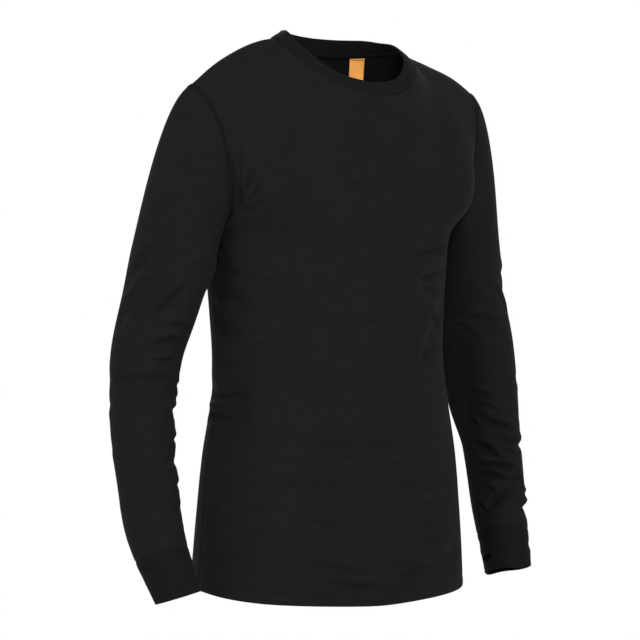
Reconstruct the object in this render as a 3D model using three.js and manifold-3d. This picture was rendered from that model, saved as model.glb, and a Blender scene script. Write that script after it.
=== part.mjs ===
// Base layer top: a close-fitting, long-sleeved, crew-necked shirt of fine black knit, standing as it is
// worn but with nobody in it. Millimetres, +Z up. The wearer faces -Y and their left is +X. The origin is
// the middle of the neck, level with the neck ends of the shoulder seams.
//
// Every piece that is cut and sewn is a solid of its own: a wall of cloth along the garment's form. The
// form of the body is a stack of rings up to the armpits and a sheet from there to the shoulders and the
// neckline. Each sleeve runs from its armhole down a bent centre line. Pieces meet at their seams.
import * as THREE from "three";
import { mergeVertices } from "three/addons/utils/BufferGeometryUtils.js";
import Module from "manifold-3d";

const degrees = (angle) => (angle * Math.PI) / 180;

// Cloth and seams
const CLOTH = 1.6; // wall of the single knit
const DOUBLE_CLOTH = 2.4; // turned hem, cuffs and neckband, which are two layers
const SEAM_GAP = 0.32; // between the edges of two pieces that are sewn together
const ARMHOLE_GAP = 0.5; // the same round an armhole, where three pieces come together
const INNER_TRIM = 0.8; // how much further back the inner face stops, so bent seams stay clear
const LABEL_CLOTH = 0.7;
const LABEL_GAP = 0.3;

// Sizes
const ARMPIT_Z = -232;
const NECK_HALF = 100; // neckline, half its width
const NECK_DEPTH = 75; // neckline, half its length front to back
const NECK_Y = -29; // middle of the neckline
const BAND_WIDTH = 22;
const NECK_CORNER = 103; // where the shoulder seams meet the neckline, in degrees round from the front
const SIDE_SEAM = 97; // bearing of the side seams, in degrees round from the front
const NECK_SHIFT = 3; // the worn neck sits this far to the wearer's right,
const NECK_TILT = 0.06; // and falls this much towards their left
const ARMHOLE_TOP = 214; // how far out the shoulder seam ends
const CUTTER_LENGTH = 24; // enough to pass one wall of the cuff
const LABEL_WIDTH = 22;
const LABEL_COLUMN = 4; // columns from the middle of the back towards the wearer's left
const LABEL_DROP = 1.5; // from the neckline down to the label's top edge
const THUMB_SLOT = { length: 25, height: 8, up: 16, turn: 187 };

// How finely the forms are divided
const NECK_STEPS = 9; // along half of the front or back neckline
const SHOULDER_STEPS = 6;
const BODY_ROWS = 18; // hem to armpit
const ARMHOLE_ROWS = 12; // armpit to shoulder
const CAP_ROWS = 8; // armhole to the level where the sleeve is a plain tube
const ARM_ROWS = 15; // from there to the cuff
const CUFF_ROWS = 4;
const BAND_ROWS = 2;
const NECK_SHARE = 0.54; // of a panel's half width, that part whose top is the neckline
const CORNER_SPREAD = 0.2; // how far to each side the corner at the neck is rounded off

// Body rings: height, half width to the wearer's right and left, how far the cloth stands to the front and
// the back, and how square the front and back are (2 is an ellipse)
const BODY = [
  { z: -710, right: 187, left: 186, front: 112, back: 139, frontSquare: 2.2, backSquare: 2.35 },
  { z: -650, right: 184, left: 183, front: 110, back: 134, frontSquare: 2.25, backSquare: 2.35 },
  { z: -594, right: 180, left: 179, front: 107, back: 128, frontSquare: 2.3, backSquare: 2.35 },
  { z: -520, right: 174, left: 172, front: 103, back: 118, frontSquare: 2.35, backSquare: 2.35 },
  { z: -460, right: 165, left: 163, front: 100, back: 111, frontSquare: 2.3, backSquare: 2.35 },
  { z: -400, right: 161, left: 157, front: 99, back: 107, frontSquare: 2.1, backSquare: 2.35 },
  { z: -340, right: 164, left: 159, front: 102, back: 110, frontSquare: 2, backSquare: 2.35 },
  { z: -280, right: 169, left: 164, front: 107, back: 115, frontSquare: 1.95, backSquare: 2.35 },
  { z: -232, right: 174, left: 169, front: 111, back: 118, frontSquare: 1.95, backSquare: 2.35 },
  { z: -200, right: 177, left: 173, front: 113, back: 119, frontSquare: 2, backSquare: 2.35 },
];

// Height of the hem, by bearing from the front
const HEM = [
  { bearing: 0, z: -701 },
  { bearing: 55, z: -693 },
  { bearing: 97, z: -682 },
  { bearing: 140, z: -692 },
  { bearing: 180, z: -699 },
];

// Armhole of the wearer's left side, turning from the shoulder over the front to the underarm, which is
// where the side seam of that side ends
const armhole = (side) => [
  { turn: 0, x: ARMHOLE_TOP, y: -8, z: -54 },
  { turn: 40, x: 201, y: -39, z: -88 },
  { turn: 90, x: 188, y: -50, z: -140 },
  { turn: 140, x: 176, y: -43, z: -201 },
  { turn: 164, x: underarm(side).x + 2.5, y: -8, z: -225 },
  { turn: 180, ...underarm(side) },
  { turn: 225, x: 183, y: 60, z: -195 },
  { turn: 270, x: 193, y: 58, z: -140 },
  { turn: 320, x: 205, y: 31, z: -84 },
];

// Height of the neckline, by angle round from the front
const NECKLINE = [
  { turn: 0, z: -66 },
  { turn: 30, z: -56 },
  { turn: 60, z: -29 },
  { turn: 85, z: -6 },
  { turn: 103, z: 2 },
  { turn: 125, z: 0 },
  { turn: 155, z: -5 },
  { turn: 180, z: -7 },
];

// Lean of the neckband, by the same angle: the share of its width that goes inwards and up
const BAND_LEAN = [
  { turn: 0, inward: 0.6, up: 0.8 },
  { turn: 60, inward: 0.66, up: 0.75 },
  { turn: 105, inward: 0.88, up: 0.48 },
  { turn: 140, inward: 0.5, up: 0.86 },
  { turn: 180, inward: 0.25, up: 0.97 },
];

// Shoulder seam of the wearer's left side, from the neck outwards
const SHOULDER = [
  { along: 0, x: 97.4, y: -12.1, z: 2 },
  { along: 0.15, x: 113, y: -11.5, z: -2 },
  { along: 0.4, x: 142, y: -10.5, z: -12.5 },
  { along: 0.72, x: 180, y: -9, z: -30.5 },
  { along: 1, x: ARMHOLE_TOP, y: -8, z: -54 },
];

// Direction in which the cloth of the front arrives at its top edge, by the share of the half width, and
// how strongly it bends the cloth below
const FRONT_ARRIVAL = [
  { share: 0, x: 0, y: 0.4, z: 0.92, strength: 1 },
  { share: 0.22, x: -0.2, y: 0.45, z: 0.87, strength: 1 },
  { share: 0.42, x: -0.5, y: 0.55, z: 0.67, strength: 0.95 },
  { share: 0.58, x: -0.5, y: 0.72, z: 0.48, strength: 0.85 },
  { share: 0.7, x: -0.3, y: 0.9, z: 0.28, strength: 0.75 },
  { share: 0.85, x: -0.1, y: 1, z: 0.05, strength: 0.7 },
  { share: 1, x: 0, y: 1, z: 0, strength: 0.7 },
];

// The same for the back
const BACK_ARRIVAL = [
  { share: 0, x: 0, y: -0.6, z: 0.8, strength: 1 },
  { share: 0.22, x: -0.2, y: -0.62, z: 0.76, strength: 1 },
  { share: 0.42, x: -0.45, y: -0.7, z: 0.55, strength: 0.95 },
  { share: 0.58, x: -0.42, y: -0.85, z: 0.32, strength: 0.88 },
  { share: 0.7, x: -0.25, y: -0.95, z: 0.15, strength: 0.8 },
  { share: 0.85, x: -0.08, y: -1, z: 0, strength: 0.75 },
  { share: 1, x: 0, y: -1, z: 0, strength: 0.75 },
];

// Direction in which the sleeve leaves the armhole, and how strongly it bends the cloth below
const LEAVING = [
  { turn: 0, x: 0.88, y: 0.07, z: -0.47, strength: 0.55 },
  { turn: 90, x: 0.72, y: -0.1, z: -0.68, strength: 0.8 },
  { turn: 180, x: 0.36, y: -0.05, z: -0.93, strength: 1 },
  { turn: 270, x: 0.72, y: 0.2, z: -0.66, strength: 0.8 },
];

// Centre line and radii of the wearer's left sleeve, across and front to back, from the end of the cuff up;
// a ring is cut square to the centre line where square is 1 and level where it is 0
const ARM = [
  { z: -680, x: 251.5, y: -40, wide: 30, deep: 30.5, square: 0.6 },
  { z: -657, x: 256, y: -29, wide: 31.5, deep: 32, square: 0.7 },
  { z: -629, x: 261, y: -15, wide: 33.5, deep: 34, square: 0.8 },
  { z: -591, x: 265, y: -1, wide: 36, deep: 37, square: 1 },
  { z: -541, x: 266, y: 10, wide: 37.5, deep: 38.5, square: 1 },
  { z: -492, x: 266, y: 20, wide: 39.5, deep: 40.5, square: 1 },
  { z: -443, x: 264, y: 25, wide: 41, deep: 43, square: 1 },
  { z: -385, x: 256, y: 29, wide: 44, deep: 47, square: 1 },
  { z: -319, x: 235.5, y: 29, wide: 46.5, deep: 55, square: 1 },
  { z: -268, x: 223.5, y: 25, wide: 48, deep: 59, square: 1 },
];
const ARM_TOP = -268;
const CUFF_TOP = -629;
const CUFF_END = -680;

// Largest folds of the body: a trough from one place to another, by bearing (minus is the wearer's right)
// and height, with its width and depth
const BODY_FOLDS = [
  { angle1: -106, z1: -434, angle2: -80, z2: -444, width: 13, depth: 5 },
  { angle1: -104, z1: -469, angle2: -80, z2: -456, width: 12, depth: 4 },
  { angle1: 82, z1: -440, angle2: 110, z2: -431, width: 13, depth: 4.5 },
  { angle1: 80, z1: -462, angle2: 106, z2: -473, width: 12, depth: 3.5 },
  { angle1: -93, z1: -276, angle2: -79, z2: -330, width: 12, depth: 3.5 },
  { angle1: -91, z1: -345, angle2: -79, z2: -384, width: 12, depth: 3.5 },
  { angle1: 62, z1: -340, angle2: 47, z2: -384, width: 12, depth: 4 },
  { angle1: 66, z1: -283, angle2: 24, z2: -272, width: 12, depth: 3 },
  { angle1: 68, z1: -314, angle2: 42, z2: -306, width: 12, depth: 3 },
  { angle1: -52, z1: -252, angle2: -26, z2: -254, width: 22, depth: 3 },
  { angle1: 18, z1: -240, angle2: 46, z2: -242, width: 22, depth: 3 },
  { angle1: -48, z1: -612, angle2: 4, z2: -643, width: 13, depth: 3 },
  { angle1: 14, z1: -655, angle2: 58, z2: -640, width: 13, depth: 3.5 },
  { angle1: 12, z1: -681, angle2: 54, z2: -661, width: 11, depth: 3 },
  { angle1: 118, z1: -446, angle2: 158, z2: -462, width: 16, depth: 4 },
  { angle1: -122, z1: -452, angle2: -160, z2: -440, width: 16, depth: 4 },
  { angle1: 128, z1: -500, angle2: 196, z2: -520, width: 18, depth: 3 },
  { angle1: 150, z1: -640, angle2: 215, z2: -618, width: 14, depth: 3 },
  { angle1: 120, z1: -290, angle2: 142, z2: -330, width: 14, depth: 4 },
  { angle1: -118, z1: -286, angle2: -140, z2: -322, width: 14, depth: 4 },
];

// Largest folds of each sleeve, by turn round the arm and height; one with a depth below zero stands out, as
// the full cloth before the armpit does
const RIGHT_FOLDS = [
  { angle1: 108, z1: -266, angle2: 124, z2: -284, width: 22, depth: -7 },
  { angle1: 24, z1: -256, angle2: -14, z2: -298, width: 10, depth: 3 },
  { angle1: 68, z1: -268, angle2: -6, z2: -342, width: 10, depth: 3.5 },
  { angle1: 92, z1: -284, angle2: 50, z2: -338, width: 10, depth: 3 },
  { angle1: 122, z1: -383, angle2: 72, z2: -377, width: 13, depth: 6 },
  { angle1: -20, z1: -418, angle2: 116, z2: -418, width: 9, depth: 2 },
  { angle1: 160, z1: -300, angle2: 210, z2: -330, width: 12, depth: 3 },
  { angle1: 190, z1: -455, angle2: 120, z2: -462, width: 10, depth: 3 },
  { angle1: 190, z1: -520, angle2: 130, z2: -512, width: 10, depth: 3 },
  { angle1: 230, z1: -400, angle2: 300, z2: -420, width: 14, depth: 3 },
];
const LEFT_FOLDS = [
  { angle1: 112, z1: -262, angle2: 126, z2: -280, width: 23, depth: -4 },
  { angle1: 24, z1: -262, angle2: -18, z2: -300, width: 10, depth: 2.5 },
  { angle1: 70, z1: -290, angle2: 0, z2: -350, width: 10, depth: 2.5 },
  { angle1: 152, z1: -372, angle2: 110, z2: -366, width: 13, depth: 5 },
  { angle1: 175, z1: -466, angle2: 118, z2: -492, width: 10, depth: 3.5 },
  { angle1: 180, z1: -505, angle2: 106, z2: -536, width: 10, depth: 3.5 },
  { angle1: 185, z1: -548, angle2: 60, z2: -560, width: 10, depth: 5 },
  { angle1: 160, z1: -596, angle2: 84, z2: -572, width: 9, depth: 4 },
  { angle1: 60, z1: -608, angle2: 20, z2: -600, width: 9, depth: 3 },
  { angle1: 230, z1: -396, angle2: 300, z2: -424, width: 14, depth: 3 },
];

const vector = (row) => new THREE.Vector3(row.x, row.y, row.z);

function underarm(side) {
  const { x, y, z } = ring(side * SIDE_SEAM, ARMPIT_Z);
  return { x: Math.abs(x), y, z };
}

const smooth = (from, to, at) => {
  const u = Math.min(Math.max((at - from) / (to - from), 0), 1);
  return u * u * (3 - 2 * u);
};

// An angle between -180 and 180 degrees.
const signed = (angle) => ((((angle + 180) % 360) + 360) % 360) - 180;

// Reads a table between its rows: each column but the key runs through the rows as one smooth curve.
function read(rows, key, at) {
  const last = rows.length - 1;
  const place = Math.min(Math.max(at, rows[0][key]), rows[last][key]);
  let i = 0;
  while (i < last - 1 && place > rows[i + 1][key]) i += 1;
  const a = rows[i];
  const b = rows[i + 1];
  const before = rows[Math.max(i - 1, 0)];
  const after = rows[Math.min(i + 2, last)];
  const span = b[key] - a[key];
  const u = (place - a[key]) / span;
  const out = { [key]: place };
  for (const column of Object.keys(a)) {
    if (column === key) continue;
    const slopeA = ((b[column] - before[column]) / (b[key] - before[key])) * span;
    const slopeB = ((after[column] - a[column]) / (after[key] - a[key])) * span;
    out[column] = cubic(a[column], slopeA, b[column], slopeB, u);
  }
  return out;
}

// A cubic from a to b with the given slopes at its ends.
function cubic(a, slopeA, b, slopeB, u) {
  const v = 1 - u;
  return a * (1 + 2 * u) * v * v + slopeA * u * v * v + b * u * u * (3 - 2 * u) - slopeB * u * u * v;
}

function cubicVector(a, slopeA, b, slopeB, u) {
  return new THREE.Vector3(
    cubic(a.x, slopeA.x, b.x, slopeB.x, u),
    cubic(a.y, slopeA.y, b.y, slopeB.y, u),
    cubic(a.z, slopeA.z, b.z, slopeB.z, u),
  );
}

// A table that goes once round, with rows added so that it can be read across its start.
function around(rows) {
  const wrap = (row, by) => ({ ...row, turn: row.turn + by });
  const lead = rows.slice(-2).map((row) => wrap(row, -360));
  const tail = rows.slice(0, 2).map((row) => wrap(row, 360));
  return [...lead, ...rows, ...tail];
}

const ARMHOLE_ROUND = { left: around(armhole(1)), right: around(armhole(-1)) };
const LEAVING_ROUND = around(LEAVING);

// A place on an armhole, as if it were the wearer's left one.
const onArmhole = (turn, side) => vector(read(side > 0 ? ARMHOLE_ROUND.left : ARMHOLE_ROUND.right, "turn", turn));

// How far in the folds draw the cloth at one place, in millimetres.
function foldDepth(folds, angle, z, radius) {
  const perDegree = degrees(radius);
  let depth = 0;
  for (const fold of folds) {
    const ax = signed(fold.angle1 - angle) * perDegree;
    const az = fold.z1 - z;
    const dx = (fold.angle2 - fold.angle1) * perDegree;
    const dz = fold.z2 - fold.z1;
    const share = -(ax * dx + az * dz) / (dx * dx + dz * dz);
    const along = Math.min(Math.max(share, 0), 1);
    const distance = Math.hypot(ax + along * dx, az + along * dz);
    depth += fold.depth * Math.exp(-((distance / fold.width) ** 2));
  }
  return depth;
}

// A place on the body's rings.
function ring(bearing, z) {
  const size = read(BODY, "z", z);
  const sin = Math.sin(degrees(bearing));
  const cos = Math.cos(degrees(bearing));
  const half = sin > 0 ? size.left : size.right;
  const depth = cos > 0 ? size.front : size.back;
  const square = size.backSquare + (size.frontSquare - size.backSquare) * smooth(-0.35, 0.35, cos);
  const sum = Math.abs(sin / half) ** square + Math.abs(cos / depth) ** square;
  const reach = sum ** (-1 / square);
  return new THREE.Vector3(reach * sin, -reach * cos, z);
}

// A place near the neck, moved as the worn neck is, which fades out along the shoulder.
function settled(point) {
  const share = 1 - smooth(NECK_HALF, ARMHOLE_TOP, Math.abs(point.x));
  point.z -= NECK_TILT * point.x * share;
  point.x -= NECK_SHIFT * share;
  return point;
}

// A place on the neckline: turn is measured from the front, positive to the wearer's left.
function neckline(turn) {
  const angle = degrees(turn);
  const z = read(NECKLINE, "turn", Math.abs(turn)).z;
  return settled(new THREE.Vector3(NECK_HALF * Math.sin(angle), NECK_Y - NECK_DEPTH * Math.cos(angle), z));
}

// A panel is described once for the front and the back. share runs from -1 to 1 across it, and level runs
// from 0 at the hem to 1 at the armpit and 2 at the top edge.
const FRONT = {
  bearing: (share) => share * SIDE_SEAM,
  neckTurn: (share) => (share / NECK_SHARE) * NECK_CORNER,
  side: (share) => Math.sign(share) || 1,
  armholeTurn: (rise) => 180 * (1 - rise),
  arrival: FRONT_ARRIVAL,
};
const BACK = {
  bearing: (share) => 180 + share * (180 - SIDE_SEAM),
  neckTurn: (share) => (180 - (Math.abs(share) / NECK_SHARE) * (180 - NECK_CORNER)) * -(Math.sign(share) || 1),
  side: (share) => -(Math.sign(share) || 1),
  armholeTurn: (rise) => 180 * (1 + rise),
  arrival: BACK_ARRIVAL,
};

const mirrored = (point, side) => new THREE.Vector3(point.x * side, point.y, point.z);

function topEdge(panel, share) {
  const reach = Math.abs(share);
  if (reach <= NECK_SHARE) return neckline(panel.neckTurn(share));
  const along = (reach - NECK_SHARE) / (1 - NECK_SHARE);
  return settled(mirrored(read(SHOULDER, "along", along), panel.side(share)));
}

// The top edge with its corner at the neck rounded off, which the cloth below it follows.
function softEdge(panel, share) {
  const reach = CORNER_SPREAD * smooth(0, 0.3, 1 - Math.abs(share));
  const sum = new THREE.Vector3();
  for (let i = -3; i <= 3; i += 1) sum.add(topEdge(panel, share + (reach * i) / 3));
  return sum.multiplyScalar(1 / 7);
}

function rise(panel, share, level) {
  const start = ring(panel.bearing(share), ARMPIT_Z);
  const below = ring(panel.bearing(share), ARMPIT_Z - 5);
  const end = softEdge(panel, share);
  const length = start.distanceTo(end);
  const leave = start.clone().sub(below).setLength(length);
  const arrival = read(panel.arrival, "share", Math.abs(share));
  const arrive = mirrored(arrival, panel.side(share)).setLength(length * arrival.strength);
  return cubicVector(start, leave, end, arrive, level);
}

function panelForm(panel, share, level) {
  const bearing = panel.bearing(share);
  if (level <= 1) {
    const away = Math.abs(bearing > 180 ? 360 - bearing : bearing);
    const hem = read(HEM, "bearing", away).z;
    return ring(bearing, hem + (ARMPIT_Z - hem) * level);
  }
  const up = level - 1;
  const point = rise(panel, share, up);
  const corner = topEdge(panel, share).sub(softEdge(panel, share));
  point.addScaledVector(corner, up ** 4);
  const side = Math.sign(share) || 1;
  const edge = mirrored(onArmhole(panel.armholeTurn(up), panel.side(share)), panel.side(share));
  const pull = smooth(0.35, 1, Math.abs(share));
  return point.add(edge.sub(rise(panel, side, up)).multiplyScalar(pull));
}

// A place on a sleeve's centre line with its ring, on the wearer's left.
function armRing(turn, z) {
  const here = read(ARM, "z", z);
  const above = read(ARM, "z", z + 4);
  const below = read(ARM, "z", z - 4);
  const down = vector(below).sub(vector(above)).normalize();
  const out = new THREE.Vector3(1, 0, 0).addScaledVector(down, -down.x).normalize();
  const forward = down.clone().cross(out);
  forward.z *= here.square;
  forward.normalize();
  const angle = degrees(turn);
  return vector(here)
    .addScaledVector(out, here.wide * Math.cos(angle))
    .addScaledVector(forward, here.deep * Math.sin(angle));
}

function armDown(z) {
  return vector(read(ARM, "z", z - 4)).sub(vector(read(ARM, "z", z + 4))).normalize();
}

// The form of one side's sleeve, as if it were the wearer's left one: level runs from 0 at the armhole to 1
// where it is a plain tube and 2 at the cuff.
function sleeveForm(side, turn, level) {
  if (level >= 1) return armRing(turn, ARM_TOP + (CUFF_TOP - ARM_TOP) * (level - 1));
  const start = onArmhole(turn, side);
  const end = armRing(turn, ARM_TOP);
  const length = start.distanceTo(end);
  const leaving = read(LEAVING_ROUND, "turn", turn);
  const leave = vector(leaving).setLength(length * leaving.strength);
  const arrive = armDown(ARM_TOP).setLength(length);
  return cubicVector(start, leave, end, arrive, level);
}

function cuffForm(turn, level) {
  return armRing(turn, CUFF_TOP + (CUFF_END - CUFF_TOP) * level);
}

// The neckband's form: level runs from 0 at the neckline to 1 at its free edge.
function bandForm(turn, level) {
  const lean = read(BAND_LEAN, "turn", Math.abs(turn));
  const angle = degrees(turn);
  const inward = new THREE.Vector3(-Math.sin(angle) / NECK_HALF, Math.cos(angle) / NECK_DEPTH, 0).normalize();
  const width = BAND_WIDTH * level;
  const point = neckline(turn).addScaledVector(inward, width * lean.inward);
  point.z += width * lean.up;
  return point;
}

// Outward direction of a form at a place, from its slopes both ways.
function outward(form, u, v, stepU, stepV) {
  const alongU = form(u + stepU, v).sub(form(u - stepU, v));
  const alongV = form(u, v + stepV).sub(form(u, v - stepV));
  return alongU.cross(alongV).normalize();
}

// A grid of places and their outward directions, one row for each v and one column for each u.
function gridOf(form, us, vs, stepU, stepV, folded) {
  const [vMin, vMax] = [vs[0], vs[vs.length - 1]];
  const [uMin, uMax] = [us[0], us[us.length - 1]];
  const round = Math.abs(uMax - uMin) > 180;
  return vs.map((v) =>
    us.map((u) => {
      const vIn = Math.min(Math.max(v, vMin + stepV), vMax - stepV);
      const uIn = round ? u : Math.min(Math.max(u, uMin + stepU), uMax - stepU);
      const normal = outward(form, uIn, vIn, stepU, stepV);
      const point = form(u, v);
      if (folded) point.addScaledVector(normal, -folded(u, v, point));
      return { point, normal };
    }),
  );
}

// A wall of cloth on a grid. seams says which of its edges are sewn to another piece and stop short of it,
// with gap as the whole distance at its first row; thickness is read by row. A round wall has no sides.
function wall(grid, { round, seams, thickness, flip, gap = SEAM_GAP }) {
  const rows = grid.length;
  const columns = grid[0].length;
  const outer = grid.map((row) => row.map((place) => place.point.clone()));
  const inner = grid.map((row, j) =>
    row.map((place) => place.point.clone().addScaledVector(place.normal, -thickness(j))),
  );
  const draw = (sheet, j, i, toJ, toI, by) => {
    const goal = grid[toJ][toI].point.clone().sub(grid[j][i].point).setLength(by);
    sheet[j][i].add(goal);
  };
  const half = SEAM_GAP / 2;
  const first = gap - half;
  for (let i = 0; i < columns; i += 1) {
    if (seams.includes("start")) {
      draw(outer, 0, i, 1, i, first);
      draw(inner, 0, i, 1, i, first + INNER_TRIM);
    }
    if (seams.includes("end")) {
      draw(outer, rows - 1, i, rows - 2, i, half);
      draw(inner, rows - 1, i, rows - 2, i, half + INNER_TRIM);
    }
  }
  if (seams.includes("sides")) {
    for (let j = 0; j < rows; j += 1) {
      draw(outer, j, 0, j, 1, half);
      draw(inner, j, 0, j, 1, half + INNER_TRIM);
      draw(outer, j, columns - 1, j, columns - 2, half);
      draw(inner, j, columns - 1, j, columns - 2, half + INNER_TRIM);
    }
  }
  return wallGeometry(outer, inner, round, flip);
}

function wallGeometry(outer, inner, round, flip) {
  const rows = outer.length;
  const columns = outer[0].length;
  const positions = [];
  for (const sheet of [outer, inner]) {
    for (const row of sheet) {
      for (const p of row) positions.push(p.x, p.y, p.z);
    }
  }
  const out = (j, i) => j * columns + (i % columns);
  const inn = (j, i) => rows * columns + out(j, i);
  const index = [];
  const quad = (a, b, c, d) => {
    if (flip) index.push(a, c, b, a, d, c);
    else index.push(a, b, c, a, c, d);
  };
  const steps = round ? columns : columns - 1;
  for (let j = 0; j + 1 < rows; j += 1) {
    for (let i = 0; i < steps; i += 1) {
      quad(out(j, i), out(j, i + 1), out(j + 1, i + 1), out(j + 1, i));
      quad(inn(j, i), inn(j + 1, i), inn(j + 1, i + 1), inn(j, i + 1));
    }
  }
  for (let i = 0; i < steps; i += 1) {
    quad(out(0, i + 1), out(0, i), inn(0, i), inn(0, i + 1));
    quad(out(rows - 1, i), out(rows - 1, i + 1), inn(rows - 1, i + 1), inn(rows - 1, i));
  }
  if (!round) {
    const last = columns - 1;
    for (let j = 0; j + 1 < rows; j += 1) {
      quad(out(j, 0), out(j + 1, 0), inn(j + 1, 0), inn(j, 0));
      quad(out(j + 1, last), out(j, last), inn(j, last), inn(j + 1, last));
    }
  }
  const geometry = new THREE.BufferGeometry();
  geometry.setAttribute("position", new THREE.Float32BufferAttribute(positions, 3));
  geometry.setIndex(index);
  geometry.computeVertexNormals();
  return geometry;
}

const range = (count, from, to) =>
  Array.from({ length: count + 1 }, (_, i) => from + ((to - from) * i) / count);

// Columns of a panel, from side to side: shoulder, neckline, shoulder.
const SHARES = [
  ...range(SHOULDER_STEPS, -1, -NECK_SHARE),
  ...range(2 * NECK_STEPS, -NECK_SHARE, NECK_SHARE).slice(1),
  ...range(SHOULDER_STEPS, NECK_SHARE, 1).slice(1),
];
const LEVELS = [...range(BODY_ROWS, 0, 1), ...range(ARMHOLE_ROWS, 1, 2).slice(1)];
const TURNS = range(2 * ARMHOLE_ROWS, 0, 360).slice(0, -1);
const SLEEVE_LEVELS = [...range(CAP_ROWS, 0, 1), ...range(ARM_ROWS, 1, 2).slice(1)];

const BODY_RADIUS = 150;
const ARM_RADIUS = 45;

function bodyGrid(panel) {
  const form = (share, level) => panelForm(panel, share, level);
  const folded = (share, level, point) => {
    const bearing = signed(panel.bearing(share));
    return foldDepth(BODY_FOLDS, bearing, point.z, BODY_RADIUS);
  };
  return gridOf(form, SHARES, LEVELS, 0.004, 0.004, folded);
}

const turnOver = (grid) =>
  grid.map((row) =>
    row.map(({ point, normal }) => ({ point: mirrored(point, -1), normal: mirrored(normal, -1) })),
  );

function sleeveGeometry(side, folds) {
  const folded = (turn, level, point) => {
    const fade = smooth(0, 0.25, level) * (1 - smooth(1.93, 2, level));
    return fade * foldDepth(folds, turn > 180 ? turn - 360 : turn, point.z, ARM_RADIUS);
  };
  const form = (turn, level) => sleeveForm(side, turn, level);
  const grid = gridOf(form, TURNS, SLEEVE_LEVELS, 0.5, 0.004, folded);
  const placed = side > 0 ? grid : turnOver(grid);
  const options = { round: true, seams: ["start", "end"], thickness: () => CLOTH, gap: ARMHOLE_GAP };
  return wall(placed, { ...options, flip: side < 0 });
}

const wasm = await Module();
wasm.setup();

function toSolid(geometry) {
  const bare = new THREE.BufferGeometry();
  bare.setAttribute("position", geometry.getAttribute("position").clone());
  bare.setIndex(geometry.getIndex() ? geometry.getIndex().clone() : null);
  const merged = mergeVertices(bare, 1e-4);
  return new wasm.Manifold(
    new wasm.Mesh({
      numProp: 3,
      vertProperties: new Float32Array(merged.getAttribute("position").array),
      triVerts: new Uint32Array(merged.getIndex().array),
    }),
  );
}

function fromSolid(solid) {
  const mesh = solid.getMesh();
  const geometry = new THREE.BufferGeometry();
  geometry.setAttribute("position", new THREE.BufferAttribute(new Float32Array(mesh.vertProperties), 3));
  geometry.setIndex(new THREE.BufferAttribute(new Uint32Array(mesh.triVerts), 1));
  geometry.computeVertexNormals();
  return geometry;
}

// The thumb slot's cutter: a level oval bar through one wall of the cuff.
function slotCutter(side) {
  const { length, height, up, turn } = THUMB_SLOT;
  const z = CUFF_END + up;
  const middle = vector(read(ARM, "z", z));
  const wallPoint = armRing(turn, z);
  const through = wallPoint.clone().sub(middle).setZ(0).normalize();
  const across = new THREE.Vector3(0, 0, -1).cross(through);
  const outline = new THREE.Shape();
  outline.absellipse(0, 0, length / 2, height / 2, 0, 2 * Math.PI);
  const bar = new THREE.ExtrudeGeometry(outline, { depth: CUTTER_LENGTH, bevelEnabled: false, curveSegments: 16 });
  bar.translate(0, 0, -CUTTER_LENGTH / 2);
  bar.applyMatrix4(new THREE.Matrix4().makeBasis(across, through.clone().cross(across), through));
  bar.translate(wallPoint.x, wallPoint.y, wallPoint.z);
  if (side > 0) return bar;
  // a mirrored bar has its triangles turned round
  bar.scale(-1, 1, 1);
  const places = bar.getAttribute("position");
  for (let i = 0; i < places.count; i += 3) {
    const a = new THREE.Vector3().fromBufferAttribute(places, i);
    const b = new THREE.Vector3().fromBufferAttribute(places, i + 1);
    places.setXYZ(i, b.x, b.y, b.z);
    places.setXYZ(i + 1, a.x, a.y, a.z);
  }
  return bar;
}

function cuffGeometry(side) {
  const grid = gridOf(cuffForm, TURNS, range(CUFF_ROWS, 0, 1), 0.5, 0.01);
  const placed = side > 0 ? grid : turnOver(grid);
  const options = { round: true, seams: ["start"], thickness: () => DOUBLE_CLOTH, flip: side < 0 };
  const tube = toSolid(wall(placed, options));
  return fromSolid(tube.subtract(toSolid(slotCutter(side))));
}

function bandGeometry() {
  const frontTurns = range(2 * NECK_STEPS, -NECK_CORNER, NECK_CORNER);
  const backTurns = range(2 * NECK_STEPS, NECK_CORNER, 360 - NECK_CORNER).slice(1, -1);
  const form = (turn, level) => bandForm(signed(turn), level);
  const grid = gridOf(form, [...frontTurns, ...backTurns], range(BAND_ROWS, 0, 1), 0.5, 0.02);
  return wall(grid, { round: true, seams: ["start"], thickness: () => DOUBLE_CLOTH, flip: false });
}

// The neck label: a strip of the back panel's inner face, moved in, that hangs from the neckband's seam.
function labelGeometry(grid) {
  const middle = SHOULDER_STEPS + NECK_STEPS - LABEL_COLUMN;
  const top = LEVELS.length - 1;
  const strip = [top - 2, top - 1, top].map((j) =>
    [middle - 1, middle, middle + 1].map((i) => ({
      point: grid[j][i].point.clone().addScaledVector(grid[j][i].normal, -(CLOTH + LABEL_GAP)),
      normal: grid[j][i].normal,
    })),
  );
  for (const row of strip) {
    const centre = row[1].point;
    for (const place of [row[0], row[2]]) {
      place.point.sub(centre).setLength(LABEL_WIDTH / 2).add(centre);
    }
  }
  for (let i = 0; i < 3; i += 1) {
    const drop = strip[1][i].point.clone().sub(strip[2][i].point).setLength(LABEL_DROP);
    strip[2][i].point.add(drop);
  }
  return wall(strip, { round: false, seams: [], thickness: () => LABEL_CLOTH, flip: false });
}

const panelWall = (grid) =>
  wall(grid, {
    round: false,
    seams: ["sides", "end"],
    thickness: (j) => (j < 1 ? DOUBLE_CLOTH : CLOTH),
    flip: false,
  });

const knit = () => new THREE.MeshStandardMaterial({ color: 0x1d1d1e, roughness: 0.85, metalness: 0 });
const rib = () => new THREE.MeshStandardMaterial({ color: 0x1b1b1c, roughness: 0.88, metalness: 0 });
const labelCloth = () => new THREE.MeshStandardMaterial({ color: 0xe39a4e, roughness: 0.7, metalness: 0 });

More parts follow.
